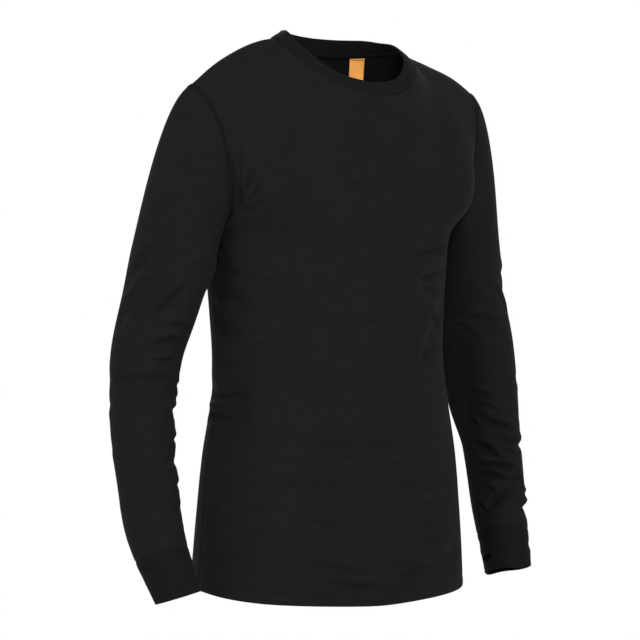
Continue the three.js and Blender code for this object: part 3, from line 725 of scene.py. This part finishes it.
def shell(name, outer, inner, cloth, closed, flip=False):
    """A thin wall between two grids of points, with its rims. A closed one goes round in its columns."""
    rows, columns = outer.shape[:2]
    number = np.arange(rows * columns).reshape(rows, columns)
    if closed:
        number = np.concatenate([number, number[:, :1]], axis=1)
    shift = rows * columns
    faces = [*sheets(number, shift), rim(number[0], shift), rim(number[-1][::-1], shift)]
    if not closed:
        faces += [rim(number[:, 0][::-1], shift), rim(number[:, -1], shift)]
    faces = np.concatenate(faces)
    if flip:
        faces = faces[:, ::-1]
    points = np.concatenate([outer.reshape(-1, 3), inner.reshape(-1, 3)])
    return make_mesh(name, points, faces, np.tile(cloth.reshape(-1, 3), (2, 1)))


def cloth_place(points, courses=None):
    """How far each point of a grid lies along and across the knit's courses, which are level in a garment."""
    across = np.linalg.norm(np.diff(points, axis=1), axis=-1)
    across = np.concatenate([np.zeros((len(points), 1)), np.cumsum(across, axis=1)], axis=1)
    across = across - across.mean(axis=1, keepdims=True)
    if courses is None:
        along = np.linalg.norm(np.diff(points, axis=0), axis=-1)
        along = np.concatenate([np.zeros((1, points.shape[1])), np.cumsum(along, axis=0)], axis=0)
        courses = along.mean(axis=1, keepdims=True) + 0 * along
    return stack(across, courses, 0.0)


def panel_courses(points):
    """The courses of a panel are level up to the chest and go on over the shoulder with the cloth."""
    y, z = points[..., 1], points[..., 2]
    return z + 0.6 * (120 - np.abs(y)) * smooth(-170, -20, z)


def spread(count, start, end, near_start=(), near_end=()):
    """Places from start to end, with extra ones at the given distances from either end."""
    low = [start + d for d in near_start]
    high = [end - d for d in reversed(near_end)]
    inner = np.linspace((low[-1] if low else start), (high[0] if high else end), count + 1)
    return np.array([*low[:-1], *inner, *high[1:]])


SEAM_STEPS = np.array([0, 0.4, 0.9, 1.6, 2.6, 4.2])
FOLD_STEPS = (0, 0.15, 0.4, 0.7, 1, 2.5)
HEM_STEPS = np.array([*FOLD_STEPS, 5, 8, 10, 10.6, 11.1, 11.7, 12.4, 13, 13.6, 14.2, 15.2, 17])
levels = np.concatenate([
    spread(150, 0, 1, near_start=HEM_STEPS / BODY_LENGTH),
    spread(82, 1, 2, near_end=SEAM_STEPS / PANEL_RISE)[1:],
])
shares = spread(162, -1, 1, SEAM_STEPS / PANEL_HALF, SEAM_STEPS / PANEL_HALF)


def panel_piece(name, panel):
    form = eased(panel_form(panel, shares[None, :], levels[:, None]), shares, levels)
    normals = grid_normals(form)
    points = push(form, normals, -panel_depth(panel, shares[None, :], levels[:, None], form))
    above = levels[:, None] * BODY_LENGTH + 0 * shares
    wall = CLOTH * (2 - smooth(HEM_ROWS[1], HEM_ROWS[1] + 1.2, above))
    tuck = rounding(above, 0.9 * CLOTH)
    outer, inner = push(points, normals, -tuck), push(points, normals, tuck - wall)
    return shell(name, outer, inner, cloth_place(form, panel_courses(form)), closed=False)


# Round the arm there are more columns beside the underarm seam
SEAM_TURNS = np.array([0, 0.8, 1.6, 2.6, 4.2])
turns = np.concatenate([
    spread(48, 0, 180, near_end=SEAM_TURNS)[:-1],
    spread(48, 180, 360, near_start=SEAM_TURNS)[:-1],
])
sleeve_levels = np.concatenate([
    spread(50, 0, 1, near_start=SEAM_STEPS / CAP_LENGTH),
    spread(190, 1, 2, near_end=SEAM_STEPS / ARM_LENGTH)[1:],
])


def sleeve_piece(name, side):
    points, normals = sleeve_surface(side, turns[None, :], sleeve_levels[:, None])
    place = cloth_place(points, points[..., 2])
    return shell(name, points, push(points, normals, -CLOTH), place, closed=True, flip=side < 0)


def cuff_piece(name, side):
    """A cuff of two layers, folded at its end, with the thumb hole as a slit that is opened to an oval."""
    hole_turn, hole_z, half_long, half_high = THUMB_HOLE
    reach = half_long / CUFF_DEGREE
    in_slit = hole_turn - reach * np.cos(np.linspace(0, math.pi, 23))
    around_cuff = np.concatenate([np.arange(0, 140, 4), np.arange(140, in_slit[0] - 0.7, 1.3), in_slit,
                                  np.arange(in_slit[-1] + 1.3, 228, 1.3), np.arange(230, 359, 4)])
    hole_level = (hole_z - CUFF_TOP) / (CUFF_END - CUFF_TOP)
    upper = spread(34, 0, hole_level, near_start=SEAM_STEPS / CUFF_LENGTH)
    lower = spread(16, hole_level, 1, near_end=np.array(FOLD_STEPS) / CUFF_LENGTH)
    cuff_levels = np.concatenate([upper, lower])
    beside = (around_cuff - hole_turn) / reach
    opening = np.sqrt(np.clip(1 - beside**2, 0, 1)) * half_high
    way = np.where(np.arange(len(cuff_levels)) < len(upper), -1.0, 1.0)[:, None]
    away = np.abs(cuff_levels - hole_level)[:, None] * CUFF_LENGTH
    level = cuff_levels[:, None] + way * opening * np.exp(-away / 9) / CUFF_LENGTH
    level = np.where(cuff_levels[:, None] > 0.99, cuff_levels[:, None], level)
    points, normals = cuff_surface(side, around_cuff[None, :], level)
    tuck = rounding((1 - level) * CUFF_LENGTH, CUFF_WALL * 0.45)
    outer, inner = push(points, normals, -tuck), push(points, normals, tuck - CUFF_WALL)
    columns = len(around_cuff)
    number = np.arange(len(cuff_levels) * columns).reshape(-1, columns)
    top, bottom = number[: len(upper)], number[len(upper) :].copy()
    open_columns = np.flatnonzero(opening > 1e-6)
    merged = np.setdiff1d(np.arange(columns), open_columns)
    bottom[0, merged] = top[-1, merged]
    wrap = [np.concatenate([part, part[:, :1]], axis=1) for part in (top, bottom)]
    shift = number.size
    lips = np.arange(open_columns[0] - 1, open_columns[-1] + 2)
    faces = np.concatenate([
        *sheets(wrap[0], shift),
        *sheets(wrap[1], shift),
        rim(wrap[0][0], shift),
        rim(wrap[1][-1][::-1], shift),
        rim(top[-1, lips][::-1], shift),
        rim(bottom[0, lips], shift),
    ])
    if side < 0:
        faces = faces[:, ::-1]
    place = np.tile(cloth_place(points).reshape(-1, 3), (2, 1))
    return make_mesh(name, np.concatenate([outer.reshape(-1, 3), inner.reshape(-1, 3)]), faces, place)


def band_surface(turn, level):
    turn, level = np.broadcast_arrays(np.asarray(turn, float), np.asarray(level, float))
    normal = outward(band_form, turn, np.clip(level, 0.02, 0.98), 0.5, 0.02)
    return band_form(turn, level), normal


def band_piece(name):
    band_levels = spread(16, 0, 1, SEAM_STEPS / BAND_WIDTH, np.array(FOLD_STEPS) / BAND_WIDTH)
    band_turns = np.linspace(-180, 180, 201)[:-1]
    points, normals = band_surface(band_turns[None, :], band_levels[:, None])
    up = band_levels[:, None] * BAND_WIDTH + 0 * band_turns
    full = 0.5 * np.sin(np.pi * np.clip(up / BAND_WIDTH, 0, 1)) ** 0.6
    tuck = rounding(BAND_WIDTH - up, BAND_WALL * 0.45)
    outer = push(points, normals, full - dip(up, 1.7, 1.3) - tuck)
    inner = push(points, normals, tuck - BAND_WALL - full)
    return shell(name, outer, inner, cloth_place(points), closed=True)


def beside_armhole(side, turn, distance):
    """Places beside an armhole: a positive distance lies on the sleeve, a negative one on the body."""
    start, _ = sleeve_surface(side, turn, 0 * turn)
    down, _ = sleeve_surface(side, turn, 0.02 + 0 * turn)
    level = distance / np.linalg.norm(down - start, axis=-1) * 0.02
    on_sleeve = sleeve_surface(side, turn, np.maximum(level, 0))
    on_body = [np.zeros(turn.shape + (3,)), np.zeros(turn.shape + (3,))]
    front = turn <= 180
    for panel, part, share_at, up in ((Front, front, side, 2 - turn / 180), (Back, ~front, -side, turn / 180)):
        edge = panel_surface(panel, share_at, up[part])[0]
        near = panel_surface(panel, share_at * 0.99, up[part])[0]
        share = share_at * (1 - 0.01 * np.maximum(-distance[part], 0) / np.linalg.norm(near - edge, axis=-1))
        for at, values in enumerate(panel_surface(panel, share, up[part])):
            on_body[at][part] = values
    mix = smooth(-0.6, 0.6, distance)[..., None]
    return on_body[0] * (1 - mix) + on_sleeve[0] * mix, unit(on_body[1] * (1 - mix) + on_sleeve[1] * mix)


def beside_neckline(turn, distance):
    """Places beside the neckline: a positive distance lies on the band, a negative one on the body."""
    on_band = band_surface(turn, np.maximum(distance, 0) / BAND_WIDTH)
    level = 2 - np.maximum(-distance, 0) / PANEL_RISE
    reach = np.abs(turn)
    front_share = np.clip(turn / NECK_CORNER, -1, 1) * NECK_SHARE
    back_share = -np.sign(turn) * (180 - np.maximum(reach, NECK_CORNER)) / (180 - NECK_CORNER) * NECK_SHARE
    front, back = panel_surface(Front, front_share, level), panel_surface(Back, back_share, level)
    pick, mix = (reach <= NECK_CORNER)[..., None], smooth(-0.6, 0.6, distance)[..., None]
    point, normal = (np.where(pick, front[i], back[i]) * (1 - mix) + on_band[i] * mix for i in (0, 1))
    return point, unit(normal)


def ribbon(name, beside, around_turns, widths, heights, wall, flip=False):
    """A low ridge along a seam, where the two edges lie over each other."""
    turn = around_turns[None, :] + 0 * np.asarray(widths)[:, None]
    distance = np.asarray(widths, float)[:, None] + 0 * turn
    points, normals = beside(turn.ravel(), distance.ravel())
    points, normals = points.reshape(*turn.shape, 3), normals.reshape(*turn.shape, 3)
    high = np.asarray(heights, float)[:, None] + 0 * turn
    outer, inner = push(points, normals, high), push(points, normals, high - wall)
    return shell(name, outer, inner, cloth_place(outer), closed=True, flip=flip)


def threads(name, paths):
    """Stitches as short rounded bits of thread. Each path has its points, normals, stitch, gap and radius."""
    all_points, count = [], 0
    for points, normals, stitch, gap, radius in paths:
        run = np.concatenate([[0], np.cumsum(np.linalg.norm(np.diff(points, axis=0), axis=-1))])
        starts = np.arange(0, run[-1] - stitch, stitch + gap)
        for_each = starts[:, None] + stitch * np.array([0, 0.3, 0.7, 1])
        middle = np.stack([np.interp(for_each, run, points[:, k]) for k in range(3)], axis=-1)
        up = unit(np.stack([np.interp(for_each, run, normals[:, k]) for k in range(3)], axis=-1))
        ahead = unit(middle[:, 3:] - middle[:, :1]) + 0 * middle
        across = unit(np.cross(ahead, up))
        thick = radius * np.array([0.45, 1, 1, 0.45])[None, :, None]
        middle = middle + up * radius * np.array([-0.3, 0.55, 0.55, -0.3])[None, :, None]
        corners = [middle + across * thick, middle + up * thick, middle - across * thick, middle - up * thick]
        all_points.append(np.stack(corners, axis=2).reshape(-1, 3))
        count += len(starts)
    number = np.arange(count * 16).reshape(count, 4, 4)
    faces = []
    for i in range(3):
        for j in range(4):
            k = (j + 1) % 4
            faces.append(quads(number[:, i, j], number[:, i, k], number[:, i + 1, k], number[:, i + 1, j]))
    faces.append(quads(*(number[:, 0, j] for j in (3, 2, 1, 0))))
    faces.append(quads(*(number[:, 3, j] for j in range(4))))
    points = np.concatenate(all_points)
    return make_mesh(name, points, np.concatenate(faces), points)


def hem_threads():
    paths = []
    for panel in (Front, Back):
        across = np.linspace(-1, 1, 700)
        for row in HEM_ROWS:
            points, normals = panel_surface(panel, across, row / BODY_LENGTH + 0 * across)
            paths.append((points, normals, 2.5, 0.7, 0.3))
    return paths


def armhole_threads():
    paths = []
    for side in (-1, 1):
        turn = np.linspace(0.5, 359.5, 900)
        for distance in (-2.6, 2.6):
            points, normals = beside_armhole(side, turn, distance + 0 * turn)
            paths.append((push(points, normals, 0.35 + 0 * turn), normals, 2.2, 0.6, 0.32))
        zigzag = np.linspace(0.5, 359.5, 2 * LADDER_STEPS + 1)
        distance = 2.2 * np.where(np.arange(len(zigzag)) % 2, 1.0, -1.0)
        points, normals = beside_armhole(side, zigzag, distance)
        steps = np.linspace(0, len(zigzag) - 1, 4 * (len(zigzag) - 1) + 1)
        lines = [np.stack([np.interp(steps, np.arange(len(zigzag)), v[:, k]) for k in range(3)], axis=-1)
                 for v in (push(points, normals, 0.5 + 0 * zigzag), normals)]
        paths.append((lines[0], unit(lines[1]), 2.2, 0.25, 0.24))
    return paths


def cuff_threads():
    paths = []
    for side in (-1, 1):
        turn = np.linspace(0, 360, 500)
        points, normals = sleeve_surface(side, turn, 2 - JOIN_ROW / ARM_LENGTH + 0 * turn)
        paths.append((points, normals, 2.3, 0.7, 0.28))
        for line in (THUMB_SEAM, THUMB_TUCK):
            place = np.array(line, float)
            steps = np.linspace(0, len(place) - 1, 80)
            turn, z = (np.interp(steps, np.arange(len(place)), place[:, k]) for k in (0, 1))
            turn = turn - 2.4 / CUFF_DEGREE if line is THUMB_SEAM else turn
            level = np.clip((z - CUFF_TOP) / (CUFF_END - CUFF_TOP), 0, 0.98)
            points, normals = cuff_surface(side, turn, level)
            paths.append((points, normals, 2.1, 0.7, 0.26))
    return paths


def label_grid():
    """The neck label: it hangs inside from the seam of the band, a little towards the wearer's left."""
    down = np.linspace(0, 1, 25)[:, None]
    across = np.linspace(-0.5, 0.5, 13)[None, :]
    point, normal = panel_surface(Back, LABEL_SHARE + 0 * down[:, 0], 2 - (0.006 + LABEL_RISE * down[:, 0]))
    side = unit(np.cross(normal, [0, 0, 1.0]))
    width = across[..., None] * LABEL_WIDTH + (LABEL_SWING[0] + LABEL_SWING[1] * down[..., None])
    grid = point[:, None] - normal[:, None] * LABEL_OFFSET + side[:, None] * width
    curl = 1.2 * down**2 * (1 - 0.5 * np.cos(4 * across)) + 0.35 * np.sin(9 * down + 3 * across)
    return push(grid, normal[:, None] + 0 * grid, -curl * down - LABEL_FALL * down**1.5), normal[:, None] + 0 * grid


def label_pieces():
    grid, normals = label_grid()
    label = shell("neck_label_cloth", grid, push(grid, normals, np.full(grid.shape[:2], -LABEL_WALL)),
                  cloth_place(grid), closed=False)
    row = np.linspace(0.04, 0.96, 60)
    at = np.stack([np.interp(row, np.linspace(0, 1, grid.shape[1]), grid[2, :, k]) for k in range(3)], axis=-1)
    facing = np.tile(-normals[2, 6], (len(row), 1))
    stitched = threads("neck_label_stitches", [(at + facing * (LABEL_WALL + 0.1), facing, 2.2, 0.4, 0.5)])
    return label, stitched


cloth_front = panel_piece("cloth_front", Front)
cloth_back = panel_piece("cloth_back", Back)
right_sleeve = sleeve_piece("cloth_right_sleeve", -1)
left_sleeve = sleeve_piece("cloth_left_sleeve", 1)
right_cuff = cuff_piece("knit_right_cuff", -1)
left_cuff = cuff_piece("knit_left_cuff", 1)
neckband = band_piece("knit_neckband")
label, label_stitches = label_pieces()

FLAT_RIDGE = ((-3.4, -2.9, -1.6, 0, 1.6, 2.9, 3.4), (-0.1, 0.35, 0.42, 0.2, 0.42, 0.35, -0.1))
INNER_RIDGE = ((-4, -3.2, -1.5, 0, 1.5, 2.4), (-1.05, -1.9, -2.4, -2.9, -3.2, -2.9))
armhole_seams = [
    ribbon(name, lambda turn, distance, side=side: beside_armhole(side, turn, distance),
           np.linspace(0.5, 359.5, 300), *FLAT_RIDGE, wall=0.5, flip=side < 0)
    for name, side in (("right_armhole_seam", -1), ("left_armhole_seam", 1))
]
neck_seam = ribbon("neck_inner_seam", beside_neckline, np.linspace(-179.5, 179.5, 240),
                   *INNER_RIDGE, wall=0.4)
sewing = [
    threads("hem_stitches", hem_threads()),
    threads("armhole_stitches", armhole_threads()),
    threads("cuff_stitches", cuff_threads()),
]


# Looks
KNIT_ROUGHNESS = 0.9
KNIT_SHEEN = 0.008


class Shading:
    """A small helper that adds nodes to one material."""

    def __init__(self, name):
        self.material = bpy.data.materials.new(name)
        self.material.use_nodes = True
        self.tree = self.material.node_tree
        self.shader = self.tree.nodes["Principled BSDF"]

    def add(self, kind, **values):
        node = self.tree.nodes.new("ShaderNode" + kind)
        for key, value in values.items():
            if hasattr(node, key):
                setattr(node, key, value)
            else:
                node.inputs[key.replace("_", " ")].default_value = value
        return node

    def link(self, out, into):
        self.tree.links.new(out, into)

    def place(self, scale):
        """The cloth's own places, in metres across and along, times the scale."""
        source = self.add("Attribute", attribute_name="cloth")
        mapping = self.add("Mapping", Scale=scale)
        self.link(source.outputs["Vector"], mapping.inputs["Vector"])
        return mapping.outputs["Vector"]

    def noise(self, scale, detail=2.0):
        node = self.add("TexNoise", Scale=1.0, Detail=detail, Roughness=0.6)
        self.link(self.place(scale), node.inputs["Vector"])
        return node.outputs["Fac"]

    def waves(self, axis, scale, bend):
        node = self.add("TexWave", bands_direction=axis, Scale=1.0, Distortion=bend, Detail=1.0)
        self.link(self.place(scale), node.inputs["Vector"])
        return node.outputs["Fac"]

    def mix(self, a, b, share):
        node = self.add("Mix")
        node.inputs["Factor"].default_value = share
        self.link(a, node.inputs["A"])
        self.link(b, node.inputs["B"])
        return node.outputs["Result"]

    def ramp(self, value, stops):
        node = self.add("ValToRGB")
        for i, (at, colour) in enumerate(stops):
            element = node.color_ramp.elements[i] if i < 2 else node.color_ramp.elements.new(at)
            element.position = at
            element.color = (*colour, 1)
        self.link(value, node.inputs["Fac"])
        return node.outputs["Color"]

    def bump(self, height, strength, distance, before=None):
        node = self.add("Bump", Strength=strength, Distance=distance)
        self.link(height, node.inputs["Height"])
        if before is not None:
            self.link(before, node.inputs["Normal"])
        return node.outputs["Normal"]

    def finish(self, colour, normal, roughness, specular, sheen=0.0):
        self.link(colour, self.shader.inputs["Base Color"])
        self.link(normal, self.shader.inputs["Normal"])
        self.shader.inputs["Roughness"].default_value = roughness
        self.shader.inputs["Specular IOR Level"].default_value = specular
        self.shader.inputs["Sheen Weight"].default_value = sheen
        self.shader.inputs["Sheen Roughness"].default_value = 0.4
        return self.material


def shade(colour, by):
    return tuple(c * by for c in colour)


def knit_material(name, colour, streak, loops, specular):
    """Fine jersey: faint level streaks in its yarn, fine loops, and slow changes of tone."""
    knit = Shading(name)
    streaks = knit.mix(knit.noise(streak), knit.noise((streak[0] * 0.3, streak[1] * 0.32, 1)), 0.35)
    fine = knit.noise((900, 1300, 1), 1.0)
    slow = knit.noise((14, 18, 1), 2.0)
    tone = knit.mix(knit.mix(streaks, fine, 0.3), slow, 0.15)
    base = knit.ramp(tone, [(0.36, shade(colour, 0.72)), (0.66, shade(colour, 1.38)), (0.5, colour)])
    across, along = (loops, loops, 1), (loops * 1.2, loops * 1.2, 1)
    rows = knit.mix(knit.waves("X", across, 1.5), knit.waves("Y", along, 2.0), 0.5)
    normal = knit.bump(rows, 0.25, 0.0002)
    normal = knit.bump(tone, 0.4, 0.0004, normal)
    return knit.finish(base, normal, KNIT_ROUGHNESS, specular, KNIT_SHEEN)


def thread_material(name, colour):
    thread = Shading(name)
    twist = thread.waves("DIAGONAL", (700, 700, 700), 1.0)
    base = thread.ramp(twist, [(0.2, shade(colour, 0.6)), (0.8, shade(colour, 1.3))])
    return thread.finish(base, thread.bump(twist, 0.4, 0.0001), 0.8, 0.06)


def label_material(name, colour):
    woven = Shading(name)
    rows = woven.mix(woven.waves("X", (900, 900, 1), 0.4), woven.waves("Y", (700, 700, 1), 0.4), 0.5)
    tone = woven.mix(rows, woven.noise((120, 300, 1)), 0.4)
    base = woven.ramp(tone, [(0.3, shade(colour, 0.85)), (0.7, shade(colour, 1.08))])
    return woven.finish(base, woven.bump(rows, 0.3, 0.0002), 0.55, 0.3)


BLACK_KNIT = (0.0046, 0.0046, 0.00475)
body_knit = knit_material("body_knit", BLACK_KNIT, (60, 620, 1), 330, 0.032)
rib_knit = knit_material("rib_knit", shade(BLACK_KNIT, 0.8), (60, 560, 1), 290, 0.026)
black_thread = thread_material("black_thread", (0.0062, 0.0062, 0.0064))
dark_thread = thread_material("label_thread", (0.05, 0.03, 0.015))
label_cloth = label_material("label_cloth", (0.83, 0.36, 0.085))

CUTS = (  # piece, node, slot, material, flat width and length, flat area
    (cloth_front, "front_panel", "body_knit", body_knit, (0.52, 0.72), 0.315),
    (cloth_back, "back_panel", "body_knit", body_knit, (0.52, 0.74), 0.303),
    (right_sleeve, "right_sleeve", "body_knit", body_knit, (0.42, 0.54), 0.1425),
    (left_sleeve, "left_sleeve", "body_knit", body_knit, (0.42, 0.54), 0.1425),
    (right_cuff, "right_cuff", "rib_knit", rib_knit, (0.205, 0.052), None),
    (left_cuff, "left_cuff", "rib_knit", rib_knit, (0.205, 0.052), None),
    (neckband, "neckband", "rib_knit", rib_knit, (0.56, 0.024), 0.0124),
    (label, "neck_label", "label", label_cloth, (0.021, 0.036), None),
)
for piece, node, slot, material, flat, area in CUTS:
    piece.data.materials.append(material)
    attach(piece, "root")
    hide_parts(node)
for piece in (*armhole_seams, neck_seam):
    piece.data.materials.append(rib_knit)
    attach(piece, "root")
for piece in sewing:
    piece.data.materials.append(black_thread)
    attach(piece, "root")
label_stitches.data.materials.append(dark_thread)
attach(label_stitches, "root")

# Floor, light and camera
FLOOR_Z = -1.45
FLOOR_HALF = 3.0
LIGHT_AIM = -0.35  # the height that every light points at
LIGHTS = (  # name, azimuth, height, distance, wide, tall, power
    ("left_box", -72, 0.8, 2.2, 1.0, 1.4, 38),
    ("front_box", -28, 0.4, 2.6, 1.2, 1.2, 62),
    ("right_box", 40, 0.8, 2.4, 1.0, 1.4, 31),
    ("back_box", 150, 0.9, 2.4, 1.4, 1.6, 50),
)


def stage_floor():
    mesh = bpy.data.meshes.new("floor")
    corners = [(x * FLOOR_HALF, y * FLOOR_HALF, FLOOR_Z) for x, y in ((-1, -1), (1, -1), (1, 1), (-1, 1))]
    mesh.from_pydata(corners, [], [(0, 1, 2, 3)])
    floor = bpy.data.objects.new("floor", mesh)
    bpy.context.scene.collection.objects.link(floor)
    material = bpy.data.materials.new("floor_paint")
    material.use_nodes = True
    material.node_tree.nodes["Principled BSDF"].inputs["Base Color"].default_value = (0.86, 0.86, 0.86, 1)
    material.node_tree.nodes["Principled BSDF"].inputs["Roughness"].default_value = 0.9
    mesh.materials.append(material)


def soft_light(name, azimuth, height, distance, wide, tall, power):
    data = bpy.data.lights.new(name, "AREA")
    data.shape = "RECTANGLE"
    data.size, data.size_y = wide, tall
    data.energy = power
    light = bpy.data.objects.new(name, data)
    angle = math.radians(azimuth)
    light.location = (distance * math.sin(angle), -distance * math.cos(angle), height)
    down = math.atan2(height - LIGHT_AIM, distance)
    light.rotation_euler = (math.radians(90) - down, 0, angle)
    bpy.context.scene.collection.objects.link(light)


stage_floor()
world = bpy.data.worlds.new("studio")
world.use_nodes = True
world.node_tree.nodes["Background"].inputs["Color"].default_value = (1, 1, 1, 1)
world.node_tree.nodes["Background"].inputs["Strength"].default_value = 1.0
bpy.context.scene.world = world
bpy.context.scene.view_settings.view_transform = "Standard"
for row in LIGHTS:
    soft_light(*row)

VIEW_AZIMUTH = math.radians(-34.0)
VIEW_DISTANCE = 3.8
VIEW_Z = -0.25
FOCAL_PIXELS = 2983
IMAGE = 640
SENSOR = 36
camera_data = bpy.data.cameras.new("camera")
camera_data.sensor_width = SENSOR
camera_data.lens = FOCAL_PIXELS * SENSOR / IMAGE
camera_data.shift_x = -12 / IMAGE
camera_data.shift_y = -76 / IMAGE
camera_data.clip_end = 100
camera = bpy.data.objects.new("camera", camera_data)
camera.location = (math.sin(VIEW_AZIMUTH) * VIEW_DISTANCE, -math.cos(VIEW_AZIMUTH) * VIEW_DISTANCE, VIEW_Z)
camera.rotation_euler = (math.radians(90), 0, VIEW_AZIMUTH)
bpy.context.scene.collection.objects.link(camera)
bpy.context.scene.camera = camera
